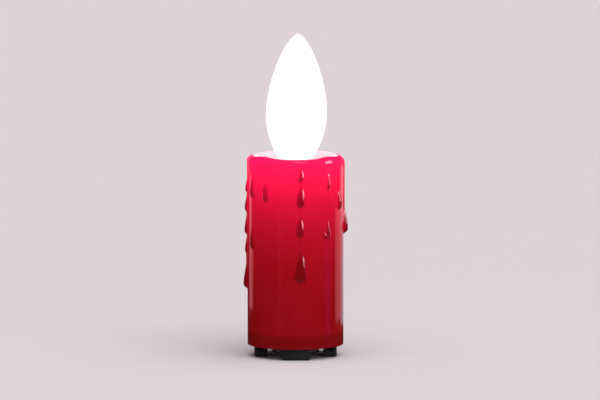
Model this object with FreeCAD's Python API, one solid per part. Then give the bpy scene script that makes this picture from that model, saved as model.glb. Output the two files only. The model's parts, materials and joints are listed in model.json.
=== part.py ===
import FreeCAD, Part
import math
import os

from FreeCAD import Vector

# Flameless LED candle, in millimetres. +Z is up, the origin is the middle of the resting plane under the
# feet, and the front of the candle faces -Y.

# ---- driving dimensions: outside of the candle -------------------------------------------------------
SHELL_R = 50.0            # outer radius of the red shell
SHELL_H = 198.0           # lower edge to rim
SHELL_WALL = 2.5
FOOT_DROP = 12.0          # resting plane to the shell's lower edge
RIM_R = 6.0               # rounding of the rim's outer corner
RIM_HOLLOW_R = 0.5        # inside rounding of the rim towards the melt dish
DISH_DEPTH = 8.0
DISH_FILLET = 3.0         # rounding at the foot of the dish wall
LIP_R = 1.2               # rounding of the shell's lower edge

FLAME_R = 31.5            # widest radius of the flame lens
FLAME_RISE = 126.4        # rim plane to the flame's tip
FLAME_WIDEST = 43.0       # rim plane to the flame's widest place
SEAT_LEDGE = 2.0          # ledge round the neck that the flame stands on
FLAME_WALL = 2.0
FLAME_UPPER_POWER = 1.7   # upper flame: radius = R (1 - t^power)^fullness
FLAME_FULLNESS = 0.68
FLAME_LOWER_POWER = 1.93  # lower flame: radius narrows with this power of the depth
NECK_R = 13.6             # threaded neck below the dish floor
NECK_BELOW = 6.5          # neck's length below the dish floor
SEAL_H = 1.0

# ---- driving dimensions: base ------------------------------------------------------------------------
COLLAR_RISE = 14.6        # base collar above the shell's lower edge
COLLAR_WALL = 2.5
PLATE_RECESS = 1.0        # base plate's underside above the shell's lower edge
PLATE_T = 3.0
FOOT_GAP = 4.5            # bayonet neck to each foot's inner face
FOOT_DEPTH = 14.0         # radial size of each foot
FOOT_W = 30.0             # tangential length of each foot
FOOT_ROUND = 1.5
TUNNEL_W = 7.0            # tie-down tunnel through each foot, radially
TUNNEL_H = 5.0
PAD_T = 2.2
PAD_INSET = 1.5           # pad's edge inside the foot's edge
PAD_SUNK = 1.0
SNAP_W = 8.0              # snap bumps between collar and shell
SNAP_H = 3.0
SNAP_OUT = 0.9
SNAP_SHARE = 0.4          # snap bumps' lower edge as a share of the collar's height
TUNNEL_ROOF = 1.0

# ---- driving dimensions: battery tube and cells ------------------------------------------------------
CELL_R = 17.1             # size D cell
CELL_H = 61.5
CELL_NUB_R = 4.75
CELL_NUB_H = 1.5
CELL_FOOT_H = 0.3         # flat underneath each cell
CELL_FOOT_IN = 4.0
CELL_GROOVE = 0.4         # depth of the groove round each cell's top
CELL_GROOVE_DOWN = 3.0
CELL_GROOVE_W = 0.8
CELL_SPACE = 0.5          # radial room round the cells
TUBE_WALL = 2.0
TUBE_END = 3.0
FLANGE_EDGE = 4.5         # flange beyond the base screws' pitch radius
FLANGE_T = 3.0
SPRING_H = 7.0
SPRING_WIRE_R = 0.5
SPRING_TURNS = 3.5
BOSS_WALL = 2.0           # bosses round the base screws
BOSS_H = 8.0
BOSS_HOLE_H = 6.5
RIB_T = 2.0
BOLT_GAP = 2.25           # bayonet neck to the base screws' heads

# ---- driving dimensions: battery cap -----------------------------------------------------------------
BAYONET_WALL = 2.5
BAYONET_DROP = 6.0        # bayonet neck below the base plate
STRAP_ROOM = 2.4          # battery tube to the bayonet neck's bore
LUG_OUT = 1.1             # lug beyond the cap's plug
LUG_H = 2.0
LUG_W_DEG = 9.0
LUG_COUNT = 3
LUG_LIFT = 1.6            # bayonet neck's lower edge to the way of the lugs
LUG_ROOM_DEG = 1.0        # room at each end of that way
TWIST_DEG = 35.0          # locked to unlocked
CAP_FLANGE_T = 2.2
CAP_GRIP_H = 3.0
CAP_GRIP_W = 7.0
CAP_WALL = 2.0            # plug's wall, inside and outside
CAP_FLOOR_T = 1.5
CAP_CHAMFER = 0.6
CONTACT_T = 0.4
STRAP_W = 6.0             # strip from the cap's contact up to the board
TAB_W = 4.0               # solder tab of the positive contact
TAB_OUT = 3.0             # tab beyond the battery tube
TAB_H = 5.0
STRAP_LUG = 4.0
STRAP_FOOT = 3.5
CONTACT_GAP = 0.05        # between the strip's foot and the turning contact disc

# ---- driving dimensions: upper inside ----------------------------------------------------------------
MAST_LEDGE = 4.6          # tube's top outside the mast, for its screws
MAST_WALL = 2.0
MAST_FLANGE_T = 3.0
MAST_ROOF_T = 4.0
MAST_HOLE_R = 3.0         # wire hole in the mast's roof
WINDOW_W = 10.0           # wire windows in the mast
WINDOW_UP = 6.0           # mast's flange to the windows
WINDOW_DOWN = 10.0        # windows to the mast's top
COLUMN_R = 5.5            # LED post, to the middle of its flats
COLUMN_RISE = 58.0        # rim plane to the LED post's top
COLUMN_ROOM = 1.4         # LED post's foot to the neck's bore
COLUMN_FOOT_T = 2.0
COLUMN_BORE_R = 2.5
COLUMN_SCREW_IN = 2.1     # screws from the LED post's foot edge
STRIP_W = 6.0
STRIP_T = 1.0
LED_SIZE = 3.5
LED_T = 0.9
LED_PER_STRIP = 6
TOP_LED_Y = 2.6           # LED on the post's top, beside the bore
TOP_LED_SHARE = 0.6
NUT_WALL = 5.4
NUT_H = 5.5
NUT_NOTCH_R = 2.0
NUT_NOTCHES = 6

# ---- driving dimensions: circuit board and switch ----------------------------------------------------
BOARD_W = 28.0
BOARD_H = 56.0
BOARD_T = 1.6
BOARD_BOTTOM = 74.0       # resting plane to the board's lower edge
POST_R = 2.6
BOARD_POST_H = 4.0
BOARD_POST_IN = 4.0       # posts from the board's side edge
BOARD_POST_UP = 5.0       # and from its upper or lower edge
SWITCH_GAP = 2.0          # screw boss to the switch
SWITCH_DEG = 315.0        # between the front and right feet
SWITCH_L = 15.0
SWITCH_W = 7.0
SWITCH_BODY_H = 6.0
SWITCH_TRAVEL = 3.0       # one step; the knob has three positions
KNOB_L = 5.0
KNOB_W = 4.0
SWITCH_CAP_T = 3.0        # full upper part of the switch over the knob's room
KNOB_OUT = 1.5            # knob below the base plate
KNOB_GRIP_T = 0.6
KNOB_GRIP_STEP = 1.5
KNOB_GRIP_DEPTH = 0.4
PIN_H = 3.5
PIN_STEP = 3.0
PIN_W = 0.8
PIN_T = 0.5

# ---- driving dimensions: fasteners, wires and fits ---------------------------------------------------
SCREW_R = 1.5
SCREW_HEAD_R = 2.75
SCREW_HEAD_H = 1.8
SMALL_SCREW_R = 1.0
SMALL_HEAD_R = 1.9
SMALL_HEAD_H = 1.2
WIRE_R = 0.8
FIT = 0.15                # push fits between plastic pieces
RUN = 0.3                 # moving pieces and loose fits
O_RING_R = 0.8

# ---- heights and radii that follow -------------------------------------------------------------------
RIM_INNER_R = SHELL_WALL + RIM_HOLLOW_R
FLAME_SEAT_R = NECK_R + SEAT_LEDGE
SHELL_BOTTOM = FOOT_DROP
RIM_Z = SHELL_BOTTOM + SHELL_H
DISH_Z = RIM_Z - DISH_DEPTH
DISH_UNDER = DISH_Z - SHELL_WALL
SHELL_IN = SHELL_R - SHELL_WALL
SEAT_Z = DISH_Z + SEAL_H
PLATE_Z = SHELL_BOTTOM + PLATE_RECESS
PLATE_TOP = PLATE_Z + PLATE_T
COLLAR_R = SHELL_IN - FIT
COLLAR_TOP = SHELL_BOTTOM + COLLAR_RISE
TUBE_IN = CELL_R + CELL_SPACE
TUBE_OUT = TUBE_IN + TUBE_WALL
BAYONET_BOTTOM = PLATE_Z - BAYONET_DROP
BAYONET_R = TUBE_OUT + STRAP_ROOM
BAYONET_OUT = BAYONET_R + BAYONET_WALL
FOOT_INNER = BAYONET_OUT + FOOT_GAP
FOOT_OUTER = FOOT_INNER + FOOT_DEPTH
BOLT_R = BAYONET_OUT + BOLT_GAP + SCREW_HEAD_R
BOSS_R = SCREW_R + BOSS_WALL
FLANGE_R = BOLT_R + FLANGE_EDGE
SWITCH_R = BOLT_R + BOSS_R + SWITCH_GAP + SWITCH_W / 2
PLUG_R = BAYONET_R - RUN
PLUG_TOP = PLATE_Z - 2 * CONTACT_T - RUN
CAP_CONTACT_TOP = PLUG_TOP + CONTACT_T
CELL_BOTTOM = CAP_CONTACT_TOP + SPRING_H
CELL_TOP = CELL_BOTTOM + 2 * CELL_H
TUBE_TOP = CELL_TOP + CONTACT_T + TUBE_END
BORE_R = TUBE_OUT + FIT
NECK_END = DISH_UNDER - NECK_BELOW
NUT_R = NECK_R + NUT_WALL
MAST_R = TUBE_OUT - MAST_LEDGE
COLUMN_FOOT_R = NECK_R - FLAME_WALL - COLUMN_ROOM
MAST_TOP = NECK_END - RUN
COLUMN_TOP = RIM_Z + COLUMN_RISE
BOARD_Y = TUBE_OUT + BOARD_POST_H
BOARD_FACE = BOARD_Y + BOARD_T
STRAP_TOP = BOARD_BOTTOM + 6.0
STRIP_BOTTOM = MAST_TOP + 4.0
STRIP_TOP = COLUMN_TOP - 2.0
O_RING_Z = COLLAR_TOP - 2.5
CAP_BOTTOM = BAYONET_BOTTOM - SEAL_H - CAP_FLANGE_T

UP = Vector(0, 0, 1)


def cylinder(r, z0, z1, x=0.0, y=0.0):
    return Part.makeCylinder(r, z1 - z0, Vector(x, y, z0), UP)


def ring(r_out, r_in, z0, z1, x=0.0, y=0.0):
    return cylinder(r_out, z0, z1, x, y).cut(cylinder(r_in, z0 - 1, z1 + 1, x, y))


def box(x0, x1, y0, y1, z0, z1):
    return Part.makeBox(x1 - x0, y1 - y0, z1 - z0, Vector(x0, y0, z0))


def turned(shape, degrees):
    """A copy of the shape turned about the candle's axis."""
    copy = shape.copy()
    copy.rotate(Vector(0, 0, 0), UP, degrees)
    return copy


def polar(r, degrees):
    return r * math.cos(math.radians(degrees)), r * math.sin(math.radians(degrees))


def fused(shapes):
    whole = shapes[0].fuse(list(shapes[1:]))
    return whole.removeSplitter()


def sector(r, z0, z1, start, end):
    """A wedge of a cylinder from one angle to another."""
    wedge = Part.makeCylinder(r, z1 - z0, Vector(0, 0, z0), UP, end - start)
    return turned(wedge, start)


def line(a, b):
    return Part.LineSegment(Vector(a[0], 0, a[1]), Vector(b[0], 0, b[1])).toShape()


def corner(a, b, centre, r):
    """An arc in the XZ plane from a to b about a centre, by its middle point."""
    mid = Vector((a[0] + b[0]) / 2 - centre[0], 0, (a[1] + b[1]) / 2 - centre[1])
    mid.normalize()
    through = Vector(centre[0] + r * mid.x, 0, centre[1] + r * mid.z)
    return Part.Arc(Vector(a[0], 0, a[1]), through, Vector(b[0], 0, b[1])).toShape()


def spun(edges):
    """The closed outline in the XZ plane, turned once about the candle's axis."""
    face = Part.Face(Part.Wire(edges))
    return face.revolve(Vector(0, 0, 0), UP, 360)


def wire_tube(points, r=WIRE_R):
    """A round wire through the points: straight runs joined by tangent arcs."""
    path = [Vector(*p) for p in points]
    edges = []
    start = path[0]
    for before, here, after in zip(path, path[1:], path[2:]):
        into = here - before
        out = after - here
        turn = into.getAngle(out)
        run = min(into.Length, out.Length)
        back = 0.45 * run
        into.normalize()
        out.normalize()
        a = here - into * back
        b = here + out * back
        radius = back / math.tan(turn / 2)
        inward = (out - into).normalize()
        centre = here + inward * math.hypot(radius, back)
        mid = centre - inward * radius
        edges.append(Part.LineSegment(start, a).toShape())
        edges.append(Part.Arc(a, mid, b).toShape())
        start = b
    edges.append(Part.LineSegment(start, path[-1]).toShape())
    way = path[1] - path[0]
    section = Part.Wire(Part.Circle(path[0], way, r).toShape())
    return Part.Wire(edges).makePipeShell([section], True, False)


def screw(r, head_r, head_h, length):
    """A pan-head screw along Z with its head's underside at 0 and its shank going up."""
    shank = cylinder(r, 0, length)
    head = cylinder(head_r, -head_h, 0)
    socket = cylinder(head_r * 0.45, -head_h - 0.1, -head_h * 0.4)
    return fused([shank, head]).cut(socket)


# ---- red shell ---------------------------------------------------------------------------------------
# Each drip runs down the shell at one angle: (length below the rim, bead radius) from the top down.
# Angles are degrees from the front, positive to the right.
DRIPS = [
    (-88, [(36, 2.2), (56, 2.8), (79, 3.1), (99, 2.6), (135, 4.0)]),
    (-63, [(38, 2.6), (91, 2.8)]),
    (-38.5, [(40, 2.8)]),
    (6.6, [(20, 2.4), (45, 3.1), (76, 3.2), (124, 4.5)]),
    (43, [(29, 2.6), (80, 3.0)]),
    (65.5, [(50, 2.9)]),
    (89, [(77, 4.4)]),
    (113, [(60, 3.2), (96, 2.8)]),
    (138, [(44, 2.6)]),
    (166, [(58, 2.4), (104, 3.8)]),
    (-156, [(50, 3.0)]),
    (-128, [(36, 2.4), (84, 3.2)]),
    (-108, [(64, 2.6)]),
]
SEAM_DEG = 11.0           # an angle with no drip, where the shell's round faces close
DRIP_STEM = 0.5           # stem radius as a share of the bead below it
DRIP_OUT = 0.4            # axis of each drip outside the shell's surface
BEAD_SHOULDER = 2.2       # bead's upper taper, as a share of its radius
BEAD_UNDER = 1.4          # taper below a bead that isn't the last


def drip(degrees, beads):
    """One run of wax down the shell: beads on a thinner stem that starts at the rim's rounding."""
    x = SHELL_R + DRIP_OUT
    top = RIM_Z - RIM_R
    stem_r = beads[0][1] * DRIP_STEM
    edges = [corner((x, top + stem_r), (x + stem_r, top), (x, top), stem_r)]
    at = (x + stem_r, top)
    for n, (below, r) in enumerate(beads):
        z = RIM_Z - below
        shoulder = (x + r * DRIP_STEM, z + r * BEAD_SHOULDER)
        belly = (x + r, z)
        edges.append(line(at, shoulder))
        edges.append(line(shoulder, belly))
        at = belly
        if n + 1 < len(beads):
            at = (x + beads[n + 1][1] * DRIP_STEM, z - r * BEAD_UNDER)
            edges.append(line(belly, at))
    end_r = beads[-1][1]
    end_z = RIM_Z - beads[-1][0]
    edges.append(corner(at, (x, end_z - end_r), (x, end_z), end_r))
    edges.append(line((x, end_z - end_r), (x, top + stem_r)))
    face = Part.Face(Part.Wire(edges))
    whole = face.revolve(Vector(x, 0, 0), UP, 360)
    return turned(whole, degrees - 90)


def shell_outside():
    """The shell as if it were full: lower edge, side, rim and melt dish."""
    rim_mid = SHELL_R - RIM_R
    dish_r = rim_mid - RIM_INNER_R
    floor_r = dish_r - DISH_FILLET
    lip_z = SHELL_BOTTOM + LIP_R
    side_top = RIM_Z - RIM_R
    dish_top = RIM_Z - RIM_INNER_R
    fillet_z = DISH_Z + DISH_FILLET
    return spun([
        line((0, SHELL_BOTTOM), (SHELL_R - LIP_R, SHELL_BOTTOM)),
        corner((SHELL_R - LIP_R, SHELL_BOTTOM), (SHELL_R, lip_z), (SHELL_R - LIP_R, lip_z), LIP_R),
        line((SHELL_R, lip_z), (SHELL_R, side_top)),
        corner((SHELL_R, side_top), (rim_mid, RIM_Z), (rim_mid, side_top), RIM_R),
        corner((rim_mid, RIM_Z), (dish_r, dish_top), (rim_mid, dish_top), RIM_INNER_R),
        line((dish_r, dish_top), (dish_r, fillet_z)),
        corner((dish_r, fillet_z), (floor_r, DISH_Z), (floor_r, fillet_z), DISH_FILLET),
        line((floor_r, DISH_Z), (0, DISH_Z)),
        line((0, DISH_Z), (0, SHELL_BOTTOM)),
    ])


def shell_inside():
    """The room inside the shell, one wall away from its outside."""
    rim_mid = SHELL_R - RIM_R
    under_r = rim_mid - RIM_HOLLOW_R
    floor_r = under_r - SHELL_WALL - DISH_FILLET
    side_top = RIM_Z - RIM_R
    hollow_top = RIM_Z - SHELL_WALL
    hollow_z = hollow_top - RIM_HOLLOW_R
    fillet_z = DISH_Z + DISH_FILLET
    return spun([
        line((0, SHELL_BOTTOM - 1), (SHELL_IN, SHELL_BOTTOM - 1)),
        line((SHELL_IN, SHELL_BOTTOM - 1), (SHELL_IN, side_top)),
        corner((SHELL_IN, side_top), (rim_mid, hollow_top), (rim_mid, side_top), RIM_R - SHELL_WALL),
        corner((rim_mid, hollow_top), (under_r, hollow_z), (rim_mid, hollow_z), RIM_HOLLOW_R),
        line((under_r, hollow_z), (under_r, fillet_z)),
        corner((under_r, fillet_z), (floor_r, DISH_UNDER), (floor_r, fillet_z), DISH_FILLET + SHELL_WALL),
        line((floor_r, DISH_UNDER), (0, DISH_UNDER)),
        line((0, DISH_UNDER), (0, SHELL_BOTTOM - 1)),
    ])


def snap_block(grow, out):
    """A snap bump on the base collar, or with growth the pocket in the shell that it clicks into."""
    z = SHELL_BOTTOM + COLLAR_RISE * SNAP_SHARE
    half = SNAP_W / 2 + grow
    return box(COLLAR_R - 1, COLLAR_R + out, -half, half, z - grow, z + SNAP_H + grow)


def candle_shell():
    full = turned(shell_outside(), SEAM_DEG)
    full = full.fuse([drip(angle, beads) for angle, beads in DRIPS])
    hole = cylinder(NECK_R + RUN, DISH_UNDER - 1, DISH_Z + 1)
    pockets = [turned(snap_block(FIT, SNAP_OUT + FIT), 45 + 90 * k) for k in range(4)]
    return full.cut([turned(shell_inside(), SEAM_DEG), hole] + pockets)


# ---- flame -------------------------------------------------------------------------------------------
def flame_curve(r, seat_r, top, seat_z):
    """Spline of the flame's side from its tip to its seat, from the two power laws."""
    widest = RIM_Z + FLAME_WIDEST
    places = []
    for k in range(13):
        t = math.cos(math.pi / 2 * k / 12) ** 1.5
        side = r * (1 - t ** FLAME_UPPER_POWER) ** FLAME_FULLNESS
        places.append(Vector(side, 0, widest + t * (top - widest)))
    for k in range(1, 7):
        t = k / 6
        side = r - (r - seat_r) * t ** FLAME_LOWER_POWER
        places.append(Vector(side, 0, widest - t * (widest - seat_z)))
    spline = Part.BSplineCurve()
    spline.interpolate(places)
    return spline.toShape()


def flame_lens():
    top = RIM_Z + FLAME_RISE
    neck_in = NECK_R - FLAME_WALL
    outside = [
        flame_curve(FLAME_R, FLAME_SEAT_R, top, SEAT_Z),
        line((FLAME_SEAT_R, SEAT_Z), (NECK_R, SEAT_Z)),
        line((NECK_R, SEAT_Z), (NECK_R, NECK_END)),
        line((NECK_R, NECK_END), (0, NECK_END)),
        line((0, NECK_END), (0, top)),
    ]
    hollow_top = top - 1.5 * FLAME_WALL
    inside = [
        flame_curve(FLAME_R - FLAME_WALL, neck_in, hollow_top, SEAT_Z + FLAME_WALL),
        line((neck_in, SEAT_Z + FLAME_WALL), (neck_in, NECK_END - 1)),
        line((neck_in, NECK_END - 1), (0, NECK_END - 1)),
        line((0, NECK_END - 1), (0, hollow_top)),
    ]
    return spun(outside).cut(spun(inside))


def lens_seal():
    return ring(FLAME_SEAT_R, NECK_R + RUN, DISH_Z, SEAT_Z)


def flame_nut():
    nut = ring(NUT_R, NECK_R + FIT / 3, DISH_UNDER - NUT_H, DISH_UNDER)
    notch = cylinder(NUT_NOTCH_R, DISH_UNDER - NUT_H - 1, DISH_UNDER - 1, NUT_R)
    return nut.cut([turned(notch, 360 / NUT_NOTCHES * k) for k in range(NUT_NOTCHES)])


# ---- light -------------------------------------------------------------------------------------------
def hexagon(flat_r, z0, z1):
    corners = [polar(flat_r / math.cos(math.pi / 6), 30 + 60 * k) for k in range(6)]
    points = [Vector(x, y, z0) for x, y in corners]
    face = Part.Face(Part.makePolygon(points + points[:1]))
    return face.extrude(Vector(0, 0, z1 - z0))


def column_screw_places():
    return [polar(COLUMN_FOOT_R - COLUMN_SCREW_IN, 60 + 120 * k) for k in range(3)]


def mast_screw_places():
    return [polar((MAST_R + TUBE_OUT) / 2, 30 + 120 * k) for k in range(3)]


def led_column():
    foot = cylinder(COLUMN_FOOT_R, MAST_TOP, MAST_TOP + COLUMN_FOOT_T)
    column = fused([foot, hexagon(COLUMN_R, MAST_TOP, COLUMN_TOP)])
    holes = [cylinder(SMALL_SCREW_R + FIT, MAST_TOP - 1, MAST_TOP + 3, x, y)
             for x, y in column_screw_places()]
    bore = cylinder(COLUMN_BORE_R, MAST_TOP - 1, COLUMN_TOP + 1)
    return column.cut(holes + [bore])


def led_strips():
    strip = box(COLUMN_R, COLUMN_R + STRIP_T, -STRIP_W / 2, STRIP_W / 2, STRIP_BOTTOM, STRIP_TOP)
    return Part.makeCompound([turned(strip, 120 * k) for k in range(3)])


def flame_leds():
    gap = (STRIP_TOP - STRIP_BOTTOM) / LED_PER_STRIP
    face_r = COLUMN_R + STRIP_T
    half = LED_SIZE / 2
    leds = []
    for k in range(3):
        for n in range(LED_PER_STRIP):
            z = STRIP_BOTTOM + gap * (n + 0.5)
            led = box(face_r, face_r + LED_T, -half, half, z - half, z + half)
            leds.append(turned(led, 120 * k))
    top = box(-half, half, TOP_LED_Y, TOP_LED_Y + LED_SIZE * TOP_LED_SHARE, COLUMN_TOP, COLUMN_TOP + LED_T)
    leds.append(top)
    return Part.makeCompound(leds)


def turned_down_screws(places, seat_z, length):
    """Small screws that go down through a seat at the given height."""
    screws = []
    for x, y in places:
        one = screw(SMALL_SCREW_R, SMALL_HEAD_R, SMALL_HEAD_H, length)
        one.rotate(Vector(0, 0, 0), Vector(1, 0, 0), 180)
        one.translate(Vector(x, y, seat_z))
        screws.append(one)
    return Part.makeCompound(screws)


def column_screws():
    return turned_down_screws(column_screw_places(), MAST_TOP + COLUMN_FOOT_T, 5.0)


def lamp_mast():
    z0 = TUBE_TOP
    wall = ring(MAST_R, MAST_R - MAST_WALL, z0, MAST_TOP)
    lower = ring(TUBE_OUT, MAST_R - MAST_WALL, z0, z0 + MAST_FLANGE_T)
    top = cylinder(MAST_R, MAST_TOP - MAST_ROOF_T, MAST_TOP)
    body = fused([wall, lower, top])
    cuts = [cylinder(MAST_HOLE_R, MAST_TOP - MAST_ROOF_T - 1, MAST_TOP + 1)]
    for k in range(3):
        window = box(0, MAST_R + 2, -WINDOW_W / 2, WINDOW_W / 2, z0 + MAST_FLANGE_T + WINDOW_UP,
                     MAST_TOP - WINDOW_DOWN)
        cuts.append(turned(window, 90 + 120 * k))
    for x, y in mast_screw_places():
        cuts.append(cylinder(SMALL_SCREW_R + FIT, z0 - 1, z0 + MAST_FLANGE_T + 1, x, y))
    for x, y in column_screw_places():
        cuts.append(cylinder(SMALL_SCREW_R, MAST_TOP - 3.2, MAST_TOP + 1, x, y))
    return body.cut(cuts)


def mast_screws():
    return turned_down_screws(mast_screw_places(), TUBE_TOP + MAST_FLANGE_T, MAST_FLANGE_T + 2.0)


# ---- battery tube ------------------------------------------------------------------------------------
def board_post_places():
    x = BOARD_W / 2 - BOARD_POST_IN
    return [(x, BOARD_BOTTOM + BOARD_POST_UP), (-x, BOARD_BOTTOM + BOARD_H - BOARD_POST_UP)]


def battery_tube():
    barrel = cylinder(TUBE_OUT, PLATE_Z, TUBE_TOP)
    flange = cylinder(FLANGE_R, PLATE_TOP, PLATE_TOP + FLANGE_T)
    solids = [barrel, flange]
    cuts = [cylinder(TUBE_IN, PLATE_Z - 1, CELL_TOP + CONTACT_T)]
    for k in range(4):
        x, y = polar(BOLT_R, 45 + 90 * k)
        solids.append(cylinder(BOSS_R, PLATE_TOP, PLATE_TOP + BOSS_H, x, y))
        cuts.append(cylinder(SCREW_R, PLATE_TOP - 1, PLATE_TOP + BOSS_HOLE_H, x, y))
        rib = box(TUBE_OUT - 1, BOLT_R, -RIB_T / 2, RIB_T / 2, PLATE_TOP, PLATE_TOP + BOSS_H)
        solids.append(turned(rib, 45 + 90 * k))
    for x, z in board_post_places():
        post = Part.makeCylinder(POST_R, BOARD_Y - 5, Vector(x, 5, z), Vector(0, 1, 0))
        solids.append(post)
        hole = Part.makeCylinder(SMALL_SCREW_R, 5, Vector(x, BOARD_Y - 4, z), Vector(0, 1, 0))
        cuts.append(hole)
    for x, y in mast_screw_places():
        cuts.append(cylinder(SMALL_SCREW_R, TUBE_TOP - 2.2, TUBE_TOP + 1, x, y))
    strap_slot = box(-TUBE_OUT - 1, -TUBE_OUT + CONTACT_T, -STRAP_W / 2 - FIT, STRAP_W / 2 + FIT,
                     PLATE_Z - 1, STRAP_TOP + 1)
    tab_slot = box(TUBE_IN - 2, TUBE_OUT + 1, -TAB_W / 2 - FIT, TAB_W / 2 + FIT, CELL_TOP - 0.5,
                   CELL_TOP + CONTACT_T)
    return fused(solids).cut(cuts + [strap_slot, tab_slot])


def cell(z0):
    shoulder = z0 + CELL_H - CELL_NUB_H
    body = cylinder(CELL_R, z0 + CELL_FOOT_H, shoulder)
    flat = cylinder(CELL_R - CELL_FOOT_IN, z0, z0 + CELL_FOOT_H)
    nub = cylinder(CELL_NUB_R, shoulder, shoulder + CELL_NUB_H)
    groove_z = shoulder - CELL_GROOVE_DOWN
    groove = ring(CELL_R + 1, CELL_R - CELL_GROOVE, groove_z, groove_z + CELL_GROOVE_W)
    return fused([body, flat, nub]).cut(groove)


def positive_contact():
    disc = cylinder(TUBE_IN * 0.6, CELL_TOP, CELL_TOP + CONTACT_T)
    end = TUBE_OUT + TAB_OUT
    tab = box(0, end, -TAB_W / 2, TAB_W / 2, CELL_TOP, CELL_TOP + CONTACT_T)
    lug = box(end - CONTACT_T, end, -TAB_W / 2, TAB_W / 2, CELL_TOP, CELL_TOP + TAB_H)
    return fused([disc, tab, lug])


def negative_strap():
    x = -TUBE_OUT
    z = CAP_CONTACT_TOP + CONTACT_GAP
    half = STRAP_W / 2
    strap = box(x, x + CONTACT_T, -half, half, z, STRAP_TOP)
    toe = box(x, x + STRAP_FOOT, -half, half, z, z + CONTACT_T)
    lug = box(x - STRAP_LUG, x, -half, half, STRAP_TOP - CONTACT_T, STRAP_TOP)
    return fused([strap, toe, lug])


# ---- circuit board -----------------------------------------------------------------------------------
def driver_board():
    board = box(-BOARD_W / 2, BOARD_W / 2, BOARD_Y, BOARD_FACE, BOARD_BOTTOM, BOARD_BOTTOM + BOARD_H)
    holes = [Part.makeCylinder(SMALL_SCREW_R + FIT, BOARD_T + 2, Vector(x, BOARD_Y - 1, z), Vector(0, 1, 0))
             for x, z in board_post_places()]
    return board.cut(holes)


def board_screws():
    screws = []
    for x, z in board_post_places():
        one = screw(SMALL_SCREW_R, SMALL_HEAD_R, SMALL_HEAD_H, BOARD_T + 3.5)
        one.rotate(Vector(0, 0, 0), Vector(1, 0, 0), 90)
        one.translate(Vector(x, BOARD_FACE, z))
        screws.append(one)
    return Part.makeCompound(screws)


def on_board(x, z, w, h, t):
    return box(x - w / 2, x + w / 2, BOARD_FACE, BOARD_FACE + t, z - h / 2, z + h / 2)


def timer_chip():
    z = BOARD_BOTTOM + 32.0
    body = box(-2.0, 2.0, BOARD_FACE + 0.2, BOARD_FACE + 1.7, z - 2.5, z + 2.5)
    legs = [on_board(side * 2.4, z - 1.9 + 1.27 * k, 1.4, 0.4, 0.5) for side in (-1, 1) for k in range(4)]
    return fused([body] + legs)


def boost_coil():
    x, z = -7.5, BOARD_BOTTOM + 18.0
    along = Vector(0, 1, 0)
    lower = Part.makeCylinder(4.2, 1.2, Vector(x, BOARD_FACE, z), along)
    middle = Part.makeCylinder(3.2, 3.0, Vector(x, BOARD_FACE + 1.0, z), along)
    upper = Part.makeCylinder(4.2, 1.2, Vector(x, BOARD_FACE + 3.8, z), along)
    return fused([lower, middle, upper])


def board_capacitor():
    return Part.makeCylinder(3.15, 7.7, Vector(4.0, BOARD_FACE, BOARD_BOTTOM + 20.0), Vector(0, 1, 0))


def timer_crystal():
    return Part.makeCylinder(1.0, 6.0, Vector(7.5, BOARD_FACE + 1.0, BOARD_BOTTOM + 33.0), UP)


def chip_resistors():
    z = BOARD_BOTTOM + 42.0
    return Part.makeCompound([on_board(-5.0 + 2.6 * k, z, 1.25, 2.0, 0.5) for k in range(6)])


def wire_headers():
    upper = on_board(6.0, BOARD_BOTTOM + BOARD_H - 5.0, 8.0, 5.0, 6.0)
    lower = [on_board(-8.0 + 8.0 * k, BOARD_BOTTOM + 6.0, 6.0, 5.0, 6.0) for k in range(2)]
    return Part.makeCompound([upper] + lower)


# ---- base --------------------------------------------------------------------------------------------
def foot():
    """The foot on the +X side, with the tunnel for a tie that holds the candle to a wreath."""
    half = FOOT_W / 2
    block = box(FOOT_INNER, FOOT_OUTER, -half, half, PAD_T - PAD_SUNK, PLATE_Z)
    upright = [e for e in block.Edges if abs(e.tangentAt(e.FirstParameter).z) > 0.9]
    block = block.makeFillet(FOOT_ROUND, upright)
    middle = (FOOT_INNER + FOOT_OUTER) / 2
    tunnel_top = PLATE_Z - TUNNEL_ROOF
    tunnel = box(middle - TUNNEL_W / 2, middle + TUNNEL_W / 2, -half - 1, half + 1, tunnel_top - TUNNEL_H,
                 tunnel_top)
    return block.cut([tunnel, pad(FIT)])


def pad(grow=0.0):
    half = FOOT_W / 2 - PAD_INSET
    inner = FOOT_INNER + PAD_INSET - grow
    outer = FOOT_OUTER - PAD_INSET + grow
    return box(inner, outer, -half - grow, half + grow, 0, PAD_T)


def bayonet_cuts():
    """The L-shaped ways inside the bayonet neck that the cap's lugs turn in."""
    z0 = BAYONET_BOTTOM + LUG_LIFT
    z1 = z0 + LUG_H + 2 * RUN
    reach = PLUG_R + LUG_OUT + RUN
    half = LUG_W_DEG / 2 + LUG_ROOM_DEG
    core = cylinder(BAYONET_R - 1, BAYONET_BOTTOM - 2, PLATE_Z + 1)
    cuts = []
    for k in range(LUG_COUNT):
        way = sector(reach, z0, z1, -half, TWIST_DEG + half).cut(core)
        entry = sector(reach, BAYONET_BOTTOM - 1, z1, TWIST_DEG - half, TWIST_DEG + half).cut(core)
        cuts += [turned(way, 360 / LUG_COUNT * k), turned(entry, 360 / LUG_COUNT * k)]
    return cuts


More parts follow.
